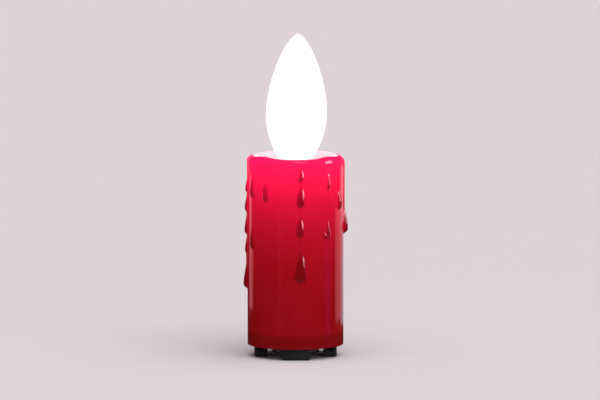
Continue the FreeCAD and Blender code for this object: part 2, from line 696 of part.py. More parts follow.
def base_housing():
    plate = cylinder(COLLAR_R, PLATE_Z, PLATE_TOP)
    collar = ring(COLLAR_R, COLLAR_R - COLLAR_WALL, PLATE_Z, COLLAR_TOP)
    neck = cylinder(BAYONET_OUT, BAYONET_BOTTOM, PLATE_Z)
    feet = [turned(foot(), 90 * k) for k in range(4)]
    bumps = [turned(snap_block(0, SNAP_OUT), 45 + 90 * k) for k in range(4)]
    body = fused([plate, collar, neck] + feet + bumps)
    groove_half = O_RING_R + FIT
    groove = ring(COLLAR_R + 1, COLLAR_R - 2 * O_RING_R + FIT, O_RING_Z - groove_half, O_RING_Z + groove_half)
    way_half = STRAP_W / 2 + FIT
    strap_way = box(-TUBE_OUT - 2 * CONTACT_T, 0, -way_half, way_half, PLATE_Z - 1, PLATE_TOP + 1)
    cuts = [cylinder(BORE_R, PLATE_Z - 1, PLATE_TOP + 1), cylinder(BAYONET_R, BAYONET_BOTTOM - 1, PLATE_Z)]
    cuts += [groove, strap_way]
    for k in range(4):
        x, y = polar(BOLT_R, 45 + 90 * k)
        cuts.append(cylinder(SCREW_R + FIT, PLATE_Z - 1, PLATE_TOP + 1, x, y))
    knob_l = KNOB_L + 2 * SWITCH_TRAVEL + 2 * RUN
    slot = box(SWITCH_R - KNOB_W / 2 - RUN, SWITCH_R + KNOB_W / 2 + RUN, -knob_l / 2, knob_l / 2,
               PLATE_Z - 1, PLATE_TOP + 1)
    cuts.append(turned(slot, SWITCH_DEG))
    return body.cut(cuts + bayonet_cuts())


def shell_seal():
    return Part.makeTorus(SHELL_IN - O_RING_R, O_RING_R, Vector(0, 0, O_RING_Z), UP)


def foot_pads():
    return Part.makeCompound([turned(pad(), 90 * k) for k in range(4)])


def base_screws():
    screws = []
    for k in range(4):
        x, y = polar(BOLT_R, 45 + 90 * k)
        one = screw(SCREW_R, SCREW_HEAD_R, SCREW_HEAD_H, PLATE_T + 6.0)
        one.translate(Vector(x, y, PLATE_Z))
        screws.append(one)
    return Part.makeCompound(screws)


# ---- switch ------------------------------------------------------------------------------------------
def switch_body():
    body = box(SWITCH_R - SWITCH_W / 2, SWITCH_R + SWITCH_W / 2, -SWITCH_L / 2, SWITCH_L / 2, PLATE_TOP,
               PLATE_TOP + SWITCH_BODY_H)
    way = SWITCH_TRAVEL * 2 + KNOB_L * 0.6 + 2 * RUN
    hollow = box(SWITCH_R - KNOB_W / 2 - RUN, SWITCH_R + KNOB_W / 2 + RUN, -way / 2, way / 2, PLATE_TOP - 1,
                 PLATE_TOP + SWITCH_BODY_H - SWITCH_CAP_T)
    return turned(body.cut(hollow), SWITCH_DEG)


def switch_pins():
    top = PLATE_TOP + SWITCH_BODY_H
    places = [PIN_STEP * (k - 1.5) for k in range(4)]
    pins = [box(SWITCH_R - PIN_W / 2, SWITCH_R + PIN_W / 2, y - PIN_T / 2, y + PIN_T / 2, top, top + PIN_H)
            for y in places]
    return turned(Part.makeCompound(pins), SWITCH_DEG)


def switch_knob():
    """Knob at one end of its travel, which is the lit position."""
    y = -SWITCH_TRAVEL
    low = PLATE_Z - KNOB_OUT
    stem_half = KNOB_L * 0.3
    head = box(SWITCH_R - KNOB_W / 2, SWITCH_R + KNOB_W / 2, y - KNOB_L / 2, y + KNOB_L / 2, low,
               PLATE_TOP - 0.2)
    stem = box(SWITCH_R - KNOB_W / 4, SWITCH_R + KNOB_W / 4, y - stem_half, y + stem_half, PLATE_TOP - 0.5,
               PLATE_TOP + SWITCH_BODY_H - SWITCH_CAP_T - RUN)
    grips = []
    for k in range(3):
        middle = y + KNOB_GRIP_STEP * (k - 1)
        grips.append(box(SWITCH_R - KNOB_W, SWITCH_R + KNOB_W, middle - KNOB_GRIP_T / 2,
                         middle + KNOB_GRIP_T / 2, low - 1, low + KNOB_GRIP_DEPTH))
    return turned(fused([head, stem]).cut(grips), SWITCH_DEG)


# ---- battery cap -------------------------------------------------------------------------------------
def battery_cap():
    """The cap: a flange with a coin grip across a well, and a plug with lugs."""
    flange_top = CAP_BOTTOM + CAP_FLANGE_T
    grip_top = CAP_BOTTOM + CAP_GRIP_H
    flange = cylinder(BAYONET_OUT, CAP_BOTTOM, flange_top)
    flange = flange.makeChamfer(CAP_CHAMFER, [e for e in flange.Edges if e.BoundBox.ZMax < CAP_BOTTOM + 0.1])
    plug = cylinder(PLUG_R, flange_top, PLUG_TOP)
    pit = cylinder(PLUG_R - CAP_WALL, grip_top, PLUG_TOP + 1)
    well = cylinder(PLUG_R - CAP_WALL, CAP_BOTTOM - 1, grip_top - CAP_FLOOR_T)
    grip = box(1 - PLUG_R, PLUG_R - 1, -CAP_GRIP_W / 2, CAP_GRIP_W / 2, CAP_BOTTOM, grip_top)
    top = cylinder(PLUG_R - CAP_WALL + 0.5, PLUG_TOP - CAP_FLOOR_T, PLUG_TOP)
    lug_z = BAYONET_BOTTOM + LUG_LIFT + RUN
    lug = sector(PLUG_R + LUG_OUT, lug_z, lug_z + LUG_H, -LUG_W_DEG / 2, LUG_W_DEG / 2)
    lug = lug.cut(cylinder(PLUG_R - 1, CAP_BOTTOM, PLUG_TOP))
    lugs = [turned(lug, 360 / LUG_COUNT * k) for k in range(LUG_COUNT)]
    return fused([flange, plug]).cut([pit, well]).fuse([grip, top] + lugs).removeSplitter()


def cap_seal():
    return ring(BAYONET_OUT - 0.3, PLUG_R + 0.2, BAYONET_BOTTOM - SEAL_H, BAYONET_BOTTOM - 0.05)


def cap_contact():
    return cylinder(PLUG_R - 0.5, PLUG_TOP, CAP_CONTACT_TOP)


def battery_spring():
    """Conical spring from the cap's contact disc to the lower cell, narrow end up."""
    height = SPRING_H - 2 * SPRING_WIRE_R - 0.1
    low_r = CELL_R * 0.7
    high_r = CELL_R * 0.35
    slope = -math.degrees(math.atan((low_r - high_r) / height))
    coil = Part.makeHelix(height / SPRING_TURNS, height, low_r, slope)
    section = Part.Wire(Part.Circle(Vector(low_r, 0, 0), Vector(0, 1, 0), SPRING_WIRE_R).toShape())
    spring = Part.Wire(coil.Edges).makePipeShell([section], True, True)
    spring.translate(Vector(0, 0, CAP_CONTACT_TOP + SPRING_WIRE_R))
    return spring


# ---- inner wires -------------------------------------------------------------------------------------
def inner_wires():
    """Routes of the six loose wires between board, cells, switch and LED post."""
    upper_z = BOARD_BOTTOM + BOARD_H - 2.5
    lower_z = BOARD_BOTTOM + 3.5
    y = BOARD_FACE + 3.0
    mast_y = MAST_R - MAST_WALL - 2.5
    window_z = TUBE_TOP + MAST_FLANGE_T + 12.0
    inner_end = MAST_TOP + 20.0
    pin_x, pin_y = polar(SWITCH_R, SWITCH_DEG)
    step_x, step_y = polar(PIN_STEP / 2, SWITCH_DEG + 90)
    pin_z = PLATE_TOP + SWITCH_BODY_H + PIN_H
    plus_x = TUBE_OUT + TAB_OUT + WIRE_R
    minus_x = 1.0 - TUBE_OUT - STRAP_LUG
    minus_z = STRAP_TOP - CONTACT_T
    return {
        "led_wire_plus": [(6.0, y, upper_z), (6.0, y, upper_z + 16), (2.5, mast_y, window_z + 4),
                          (1.2, 1.2, window_z + 16), (1.2, 0, inner_end)],
        "led_wire_minus": [(3.5, y, upper_z), (3.5, y, upper_z + 14), (-1.5, mast_y, window_z + 2),
                           (-1.2, -0.5, window_z + 14), (-1.2, 0, inner_end)],
        "cell_wire_plus": [(plus_x, 0, CELL_TOP + 4.0), (plus_x, 0, CELL_TOP - 8.0),
                           (TUBE_OUT + 5.0, 16, upper_z + 4), (8.5, y, upper_z + 9), (8.5, y, upper_z)],
        "cell_wire_minus": [(minus_x, 0, minus_z), (minus_x, 0, minus_z - 8),
                            (-21.0, 14, minus_z - 16), (-9.0, y, lower_z - 9), (-9.0, y, lower_z)],
        "switch_wire_a": [(pin_x - step_x, pin_y - step_y, pin_z),
                          (pin_x - step_x, pin_y - step_y, pin_z + 14),
                          (33.0, -2.0, pin_z + 26), (19.0, y - 1, lower_z - 16), (1.4, y, lower_z - 8),
                          (1.4, y, lower_z)],
        "switch_wire_b": [(pin_x + step_x, pin_y + step_y, pin_z),
                          (pin_x + step_x, pin_y + step_y, pin_z + 8),
                          (37.0, -4.0, pin_z + 18), (20.5, y + 2.5, lower_z - 19), (-1.4, y, lower_z - 12),
                          (-1.4, y, lower_z)],
    }


# ---- all nodes ---------------------------------------------------------------------------------------
def all_nodes():
    nodes = {
        "candle_shell": candle_shell(),
        "flame_lens": flame_lens(),
        "lens_seal": lens_seal(),
        "flame_nut": flame_nut(),
        "led_column": led_column(),
        "led_strips": led_strips(),
        "flame_leds": flame_leds(),
        "column_screws": column_screws(),
        "lamp_mast": lamp_mast(),
        "mast_screws": mast_screws(),
        "battery_tube": battery_tube(),
        "battery_lower": cell(CELL_BOTTOM),
        "battery_upper": cell(CELL_BOTTOM + CELL_H),
        "positive_contact": positive_contact(),
        "negative_strap": negative_strap(),
        "driver_board": driver_board(),
        "board_screws": board_screws(),
        "timer_chip": timer_chip(),
        "boost_coil": boost_coil(),
        "board_capacitor": board_capacitor(),
        "timer_crystal": timer_crystal(),
        "chip_resistors": chip_resistors(),
        "wire_headers": wire_headers(),
        "base_housing": base_housing(),
        "shell_seal": shell_seal(),
        "foot_pads": foot_pads(),
        "base_screws": base_screws(),
        "switch_body": switch_body(),
        "switch_pins": switch_pins(),
        "switch_knob": switch_knob(),
        "battery_cap": battery_cap(),
        "cap_seal": cap_seal(),
        "cap_contact": cap_contact(),
        "battery_spring": battery_spring(),
    }
    for name, route in inner_wires().items():
        nodes[name] = wire_tube(route)
    return nodes


os.makedirs("parts", exist_ok=True)
for name, shape in all_nodes().items():
    print(f"{name}: {len(shape.Solids)} solids, valid {shape.isValid()}, {shape.Volume / 1000:.2f} cm3")
    shape.exportStep(f"parts/{name}.step")
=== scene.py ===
import json
import math

import bpy
import numpy as np
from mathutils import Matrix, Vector


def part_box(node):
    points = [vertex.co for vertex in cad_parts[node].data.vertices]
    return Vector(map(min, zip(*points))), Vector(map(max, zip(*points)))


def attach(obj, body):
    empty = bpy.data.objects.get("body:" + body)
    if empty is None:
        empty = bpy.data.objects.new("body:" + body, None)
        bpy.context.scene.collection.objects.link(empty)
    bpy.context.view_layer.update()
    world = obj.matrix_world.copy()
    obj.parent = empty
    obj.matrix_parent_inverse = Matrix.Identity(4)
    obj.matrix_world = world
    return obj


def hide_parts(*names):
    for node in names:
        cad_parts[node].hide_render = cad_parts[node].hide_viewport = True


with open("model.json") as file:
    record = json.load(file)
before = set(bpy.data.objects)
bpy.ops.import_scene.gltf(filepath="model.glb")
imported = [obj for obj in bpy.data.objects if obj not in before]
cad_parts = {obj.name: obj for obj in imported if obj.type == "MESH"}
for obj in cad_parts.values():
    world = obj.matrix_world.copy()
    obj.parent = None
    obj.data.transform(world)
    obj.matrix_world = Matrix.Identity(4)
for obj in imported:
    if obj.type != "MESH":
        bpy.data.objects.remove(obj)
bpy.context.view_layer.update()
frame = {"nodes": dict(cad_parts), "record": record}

MM = 0.001

# ---- heights taken from the frame --------------------------------------------------------------------
shell_low, shell_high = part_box("candle_shell")
flame_low, flame_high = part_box("flame_lens")
seal_low, seal_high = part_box("lens_seal")
collar_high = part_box("base_housing")[1]
RIM_Z = shell_high.z
SHELL_BOTTOM = shell_low.z
DISH_Z = seal_low.z
COLLAR_TOP = collar_high.z

# ---- sizes that the CAD shell has too ----------------------------------------------------------------
SHELL_R = 50.0 * MM
SHELL_WALL = 2.5 * MM
RIM_R = 6.0 * MM            # rounding of the rim's outer corner, and of its inner one
RIM_INNER_R = 3.0 * MM
RIM_HOLLOW_R = 0.5 * MM     # inside rounding of the rim towards the dish
DISH_FILLET = 3.0 * MM
LIP_R = 1.2 * MM            # rounding of the lower edge
HOLE_R = 13.9 * MM          # hole for the flame's neck
EDGE_R = 0.3 * MM           # small bevel of cut edges, in the visual shell alone


# ---- mesh helpers ------------------------------------------------------------------------------------
def mesh_object(name, vertices, faces, material):
    """A smooth-shaded mesh in the scene."""
    mesh = bpy.data.meshes.new(name)
    mesh.from_pydata([tuple(v) for v in vertices], [], faces)
    mesh.validate()
    mesh.update()
    mesh.polygons.foreach_set("use_smooth", [True] * len(mesh.polygons))
    mesh.materials.append(material)
    made = bpy.data.objects.new(name, mesh)
    bpy.context.scene.collection.objects.link(made)
    return made


def arc(centre, r, start, end, steps):
    """Points of an arc in the (radius, height) plane, angles in degrees."""
    angles = [math.radians(start + (end - start) * k / steps) for k in range(steps + 1)]
    return [(centre[0] + r * math.cos(a), centre[1] + r * math.sin(a)) for a in angles]


def run(a, b, step):
    """Points strictly between a and b, about one step apart."""
    count = max(1, round(math.dist(a, b) / step))
    return [(a[0] + (b[0] - a[0]) * k / count, a[1] + (b[1] - a[1]) * k / count) for k in range(1, count)]


def smoothstep(t):
    """0 up to t = 0 and 1 from t = 1, with a soft start and end."""
    t = np.clip(t, 0, 1)
    return t * t * (3 - 2 * t)


# ---- red wax shell -----------------------------------------------------------------------------------
# Each run of wax: degrees from the front, millimetres below the rim where it starts, height of its stem
# over its beads' height, and its beads as (millimetres below the rim, half-width, height).
DRIPS = [
    (-88, -4, 0.42, [(36, 2.2, 2.5), (56, 2.8, 3.1), (79, 3.2, 3.3), (99, 2.7, 2.8), (135, 4.1, 4.3)]),
    (-63, 12, 0.20, [(38, 4.0, 2.7), (91, 4.2, 2.8)]),
    (-38.5, 20, 0.02, [(40, 4.2, 1.9)]),
    (6.0, 2, 0.08, [(20, 3.0, 2.2), (45, 4.2, 2.9), (76, 4.0, 2.8), (122, 5.7, 3.9)]),
    (43, 15, 0.16, [(29, 2.9, 2.0), (80, 3.1, 2.3)]),
    (65.5, 32, 0.05, [(50, 4.2, 2.6)]),
    (89, 0, 0.30, [(77, 4.4, 4.8)]),
    (113, -4, 0.30, [(60, 3.4, 3.2), (96, 3.0, 2.8)]),
    (138, 8, 0.20, [(44, 2.8, 2.4)]),
    (166, -4, 0.25, [(58, 2.6, 2.4), (104, 4.0, 3.8)]),
    (-156, 4, 0.20, [(50, 3.2, 2.8)]),
    (-128, -4, 0.25, [(36, 2.6, 2.2), (84, 3.4, 3.2)]),
    (-108, -4, 0.30, [(64, 2.8, 2.6)]),
]
SMALL_LEDGE = (37.0, 79.5, 2.6)    # a low side lobe of the run at 43 degrees: angle, depth, radius
STEM_SHARE = 0.24           # stem half-width over the radius of the bead below it
BEAD_TAPER = 5.4            # length of the bead's upper taper over its radius
BEAD_END = 1.0              # length of its lower end over its radius
BEAD_TAIL = 1.4             # length of a bead's fall to the next stem, over its lower end
BEAD_LATE = 1.6             # the higher, the later a bead swells out of its stem
BEAD_ROUND = 0.6            # section across a run: (1 - across^2)^this
FIRST_STEM_TOP = -12.0      # millimetres below the rim
THINNEST = 0.05             # least half-width of a stem
SOFTENING = 2               # how many times the wax is smoothed
ROWS_INSIDE = 4             # rows of points inside the rim that wax reaches
START_LENGTH = 8.0          # over which a run rises out of the shell
SWAY = 0.45                 # sideways wander of a run, and the length over which it turns
SWAY_LENGTH = 13.0
LEDGE_WIDTH = 1.5           # the side lobe's half-width, height and upper flattening over its radius
LEDGE_HEIGHT = 0.55
LEDGE_FLAT = 1.7
COLUMN_STEP = 0.58          # millimetres round the shell between points on a run of wax
PLAIN_STEP = 3.2            # and between runs
RUN_HALF_WIDTH = 5.6        # half-width of the close stretch at a run
STEP_GROWTH = 3.0           # length over which the step grows from one to the other
SHELL_STEP = 1.05 * MM      # steps down the shell
FLOOR_STEP = 2.0 * MM       # and across the dish floor
INNER_STEP = 12 * MM        # and up the plain inside

# Rim, in millimetres and degrees: it rises in two shoulders beside the run at the front, and waves behind.
SHOULDER = 1.5
SHOULDER_DEG = 47.0
SHOULDER_SPREAD = 19.0
BACK_RISE = 0.3
BACK_WAVES = [(0.35, 3, 0.6), (0.25, 5, 2.1)]      # height, waves round the rim, phase
BACK_FROM = 70.0
BACK_BLEND = 30.0
RIM_LIFT = 16 * MM          # the shell below the rim over which its waves die out
DISH_LIFT = 7 * MM          # and the dish wall over which they do
LIP_CLEAR = 4 * MM          # no wax stands out this close to the lower edge


def shell_angles():
    """Angles round the shell in degrees, close together where wax runs and further apart between."""
    whole = 2 * math.pi * SHELL_R / MM
    angles = []
    at = -180.0
    while at < 180.0 - 0.5 * COLUMN_STEP / whole * 360:
        angles.append(at)
        near = min(abs((at - run_at + 180) % 360 - 180) for run_at, *_ in DRIPS)
        near = min(near, abs((at - SMALL_LEDGE[0] + 180) % 360 - 180))
        away = max(0.0, near / 360 * whole - RUN_HALF_WIDTH) / STEP_GROWTH
        at += (COLUMN_STEP + (PLAIN_STEP - COLUMN_STEP) * min(1.0, away)) / whole * 360
    return np.array(angles)


def shell_profile():
    """The shell's closed section as (radius, height) points, and how many of them are outside."""
    rim_mid = SHELL_R - RIM_R
    dish_r = rim_mid - RIM_INNER_R
    floor_r = dish_r - DISH_FILLET
    side_top = RIM_Z - RIM_R
    dish_top = RIM_Z - RIM_INNER_R
    lip_z = SHELL_BOTTOM + LIP_R
    points = arc((HOLE_R + EDGE_R, DISH_Z - EDGE_R), EDGE_R, 180, 90, 3)
    points += run(points[-1], (floor_r, DISH_Z), FLOOR_STEP)
    points += arc((floor_r, DISH_Z + DISH_FILLET), DISH_FILLET, -90, 0, 8)
    points += run(points[-1], (dish_r, dish_top), SHELL_STEP)
    points += arc((rim_mid, dish_top), RIM_INNER_R, 180, 90, 10)
    points += arc((rim_mid, side_top), RIM_R, 90, 0, 18)[1:]
    points += run(points[-1], (SHELL_R, lip_z), SHELL_STEP)
    points += arc((SHELL_R - LIP_R, lip_z), LIP_R, 0, -90, 6)
    outside = len(points)
    inner_r = SHELL_R - SHELL_WALL
    under = DISH_Z - SHELL_WALL
    hollow_z = RIM_Z - SHELL_WALL - RIM_HOLLOW_R
    under_r = rim_mid - RIM_HOLLOW_R
    points += arc((inner_r + EDGE_R, SHELL_BOTTOM + EDGE_R), EDGE_R, -90, -180, 3)
    points += run(points[-1], (inner_r, side_top), INNER_STEP)
    points += arc((rim_mid, side_top), RIM_R - SHELL_WALL, 0, 90, 8)
    points += arc((rim_mid, hollow_z), RIM_HOLLOW_R, 90, 180, 3)[1:]
    points += arc((floor_r, DISH_Z + DISH_FILLET), DISH_FILLET + SHELL_WALL, 0, -90, 8)
    points += arc((HOLE_R + EDGE_R, under + EDGE_R), EDGE_R, -90, -180, 3)
    return points, outside


def drip_section(below, stem_height, beads):
    """Half-width and height of one run of wax at each distance below the rim, in millimetres."""
    width = np.zeros_like(below)
    height = np.zeros_like(below)
    top = FIRST_STEM_TOP
    for n, (at, r, full) in enumerate(beads):
        stem = r * STEM_SHARE
        low = full * stem_height
        long = r * BEAD_TAPER
        taper = np.sin(math.pi / 2 * np.clip((below - (at - long)) / long, 0, 1)) ** BEAD_LATE
        span = (below > top) & (below <= at)
        width = np.where(span, stem + (r - stem) * taper, width)
        height = np.where(span, low + (full - low) * taper, height)
        down = (below - at) / (r * BEAD_END)
        if n + 1 == len(beads):
            round_end = np.sqrt(np.clip(1 - down ** 2, 0, 1))
            tail = (below > at) & (down < 1)
            width = np.where(tail, r * round_end, width)
            height = np.where(tail, full * round_end, height)
        else:
            next_stem = beads[n + 1][1] * STEM_SHARE
            next_low = beads[n + 1][2] * stem_height
            fall = 1 - smoothstep(down / BEAD_TAIL)
            tail = (below > at) & (down < BEAD_TAIL)
            width = np.where(tail, next_stem + (r - next_stem) * fall, width)
            height = np.where(tail, next_low + (full - next_low) * fall, height)
            top = at + r * BEAD_END * BEAD_TAIL
    return width, height


def lobe(below, degrees, at, depth, r):
    """A low round lobe of wax, wider than it is tall."""
    across = np.radians(degrees[None, :] - at) * (SHELL_R / MM) / (LEDGE_WIDTH * r)
    down = (below[:, None] - depth) / r
    down = np.where(down < 0, down * LEDGE_FLAT, down)
    return LEDGE_HEIGHT * r * np.clip(1 - across ** 2 - down ** 2, 0, 1) ** 0.5


def wax_relief(below, degrees):
    """How far the wax stands out at each (distance below the rim, angle), in millimetres."""
    relief = lobe(below, degrees, *SMALL_LEDGE)
    for at, first, stem_height, beads in DRIPS:
        width, height = drip_section(below, stem_height, beads)
        sway = SWAY * np.sin(below / SWAY_LENGTH + at)
        across = (degrees[None, :] - at + 180) % 360 - 180
        across = np.radians(across) * (SHELL_R / MM) - sway[:, None]
        share = across / np.maximum(width, THINNEST)[:, None]
        bump = height[:, None] * np.clip(1 - share ** 2, 0, 1) ** BEAD_ROUND
        start = smoothstep((below - first) / START_LENGTH)[:, None]
        relief = np.maximum(relief, bump * start)
    for _ in range(SOFTENING):
        soft = relief.copy()
        soft[1:-1] = (relief[:-2] + 4 * relief[1:-1] + relief[2:]) / 6
        relief = (np.roll(soft, 1, 1) + 4 * soft + np.roll(soft, -1, 1)) / 6
    return relief


def rim_wave(degrees):
    """Height of the rim over its lowest at each angle, in millimetres: it dips where wax has run over."""
    front = SHOULDER * np.exp(-((np.abs(degrees) - SHOULDER_DEG) / SHOULDER_SPREAD) ** 2)
    behind = sum(height * np.sin(waves * np.radians(degrees) + phase) for height, waves, phase in BACK_WAVES)
    return front + (behind + BACK_RISE) * smoothstep((np.abs(degrees) - BACK_FROM) / BACK_BLEND)


def wax_shell(material):
    """The shell turned about Z, with the wax standing out of its outside and the rim's waves."""
    points, outside = shell_profile()
    profile = np.array(points)
    ahead = np.roll(profile, -1, 0) - np.roll(profile, 1, 0)
    ahead /= np.linalg.norm(ahead, axis=1)[:, None]
    normal = np.stack([-ahead[:, 1], ahead[:, 0]], 1)
    r, z = profile[:, 0], profile[:, 1]
    rim_row = int(np.argmax(z))
    along = np.concatenate([[0], np.cumsum(np.linalg.norm(np.diff(profile, axis=0), axis=1))])
    rim_excess = RIM_R * (math.pi / 2 - 1)      # the rounded rim's length beyond the height it covers
    below = (along - along[rim_row] - rim_excess) / MM
    degrees = shell_angles()
    turns = len(degrees)
    relief = np.zeros((len(points), turns))
    outer = slice(rim_row - ROWS_INSIDE, outside)
    lip = smoothstep((z[outer] - SHELL_BOTTOM) / LIP_CLEAR)[:, None]
    relief[outer] = wax_relief(below[outer], degrees) * lip * MM
    lift = smoothstep((z - (RIM_Z - RIM_LIFT)) / RIM_LIFT)
    lift[:rim_row] = smoothstep((z[:rim_row] - DISH_Z) / DISH_LIFT)
    wave = rim_wave(degrees)[None, :] * MM
    radius = r[:, None] + normal[:, 0:1] * relief
    height = z[:, None] + normal[:, 1:2] * relief + lift[:, None] * wave
    a = np.radians(degrees)[None, :]
    vertices = np.stack([radius * np.sin(a), -radius * np.cos(a), height], -1).reshape(-1, 3)
    rows = len(points)
    faces = []
    for i in range(rows):
        j = (i + 1) % rows
        for k in range(turns):
            m = (k + 1) % turns
            faces.append((i * turns + k, j * turns + k, j * turns + m, i * turns + m))
    return mesh_object("wax_shell", vertices, faces, material)


# ---- flame -------------------------------------------------------------------------------------------
FLAME_R = 31.5 * MM
FLAME_WIDEST = RIM_Z + 43.0 * MM
SEAT_R = 15.6 * MM          # ledge on which the flame stands
SEAT_Z = seal_high.z
NECK_R = 13.6 * MM
FLAME_WALL = 2.0 * MM
FLAME_LEAN = 0.019          # sideways lean to the right, over height
FLAME_TIP_CLOSE = 1.5       # how closely the upper side's points stand at the tip
FLAME_UPPER_POWER = 1.7     # upper side: radius = R (1 - t^power)^fullness
FLAME_FULLNESS = 0.68
FLAME_LOWER_POWER = 1.93    # lower side: radius narrows with this power of the depth
UPPER_STEPS = 60
LOWER_STEPS = 30
FLAME_TURNS = 120
FLAME_TIP_WALL = 3 * MM
NECK_END_WALL = 1 * MM


def flame_side(r, seat_r, top, seat_z):
    """The flame's side from its tip to its seat as (radius, height) points."""
    side = []
    for k in range(1, UPPER_STEPS + 1):
        t = math.cos(math.pi / 2 * k / UPPER_STEPS) ** FLAME_TIP_CLOSE
        full = (1 - t ** FLAME_UPPER_POWER) ** FLAME_FULLNESS
        side.append((r * full, FLAME_WIDEST + t * (top - FLAME_WIDEST)))
    for k in range(1, LOWER_STEPS + 1):
        t = k / LOWER_STEPS
        narrow = (r - seat_r) * t ** FLAME_LOWER_POWER
        side.append((r - narrow, FLAME_WIDEST - t * (FLAME_WIDEST - seat_z)))
    return side


def lathe(profile, top, bottom, turns, inward=False):
    """Points and faces of a side turned about Z and closed by a point at each end."""
    vertices = [(0.0, 0.0, top)]
    for r, z in profile:
        for k in range(turns):
            a = 2 * math.pi * k / turns
            vertices.append((r * math.cos(a), r * math.sin(a), z))
    vertices.append((0.0, 0.0, bottom))
    faces = []
    last = len(vertices) - 1
    end = 1 + (len(profile) - 1) * turns
    for k in range(turns):
        m = (k + 1) % turns
        faces.append((0, 1 + k, 1 + m))
        faces.append((last, end + m, end + k))
        for row in range(len(profile) - 1):
            upper = 1 + row * turns
            faces.append((upper + k, upper + turns + k, upper + turns + m, upper + m))
    if inward:
        faces = [tuple(reversed(face)) for face in faces]
    return vertices, faces


def opal_flame(material):
    """The hollow opal lens with its closed neck, leaning a little to the right above its seat."""
    inner_r = NECK_R - FLAME_WALL
    outside = flame_side(FLAME_R, SEAT_R, flame_high.z, SEAT_Z)
    outside += [(NECK_R, SEAT_Z), (NECK_R, flame_low.z + EDGE_R), (NECK_R - EDGE_R, flame_low.z)]
    hollow_top = flame_high.z - FLAME_TIP_WALL
    hollow_bottom = flame_low.z + NECK_END_WALL
    inside = flame_side(FLAME_R - FLAME_WALL, inner_r, hollow_top, SEAT_Z + FLAME_WALL)
    inside += [(inner_r, hollow_bottom)]
    vertices, faces = lathe(outside, flame_high.z, flame_low.z, FLAME_TURNS)
    more, inner_faces = lathe(inside, hollow_top, hollow_bottom, FLAME_TURNS, inward=True)
    start = len(vertices)
    vertices += more
    faces += [tuple(v + start for v in face) for face in inner_faces]
    leaning = [(x + FLAME_LEAN * max(0.0, z - SEAT_Z), y, z) for x, y, z in vertices]
    return mesh_object("opal_flame", leaning, faces, material)


# ---- materials ---------------------------------------------------------------------------------------
NOISE_LOW = 0.3             # most of a noise texture's values lie between these
NOISE_HIGH = 0.7


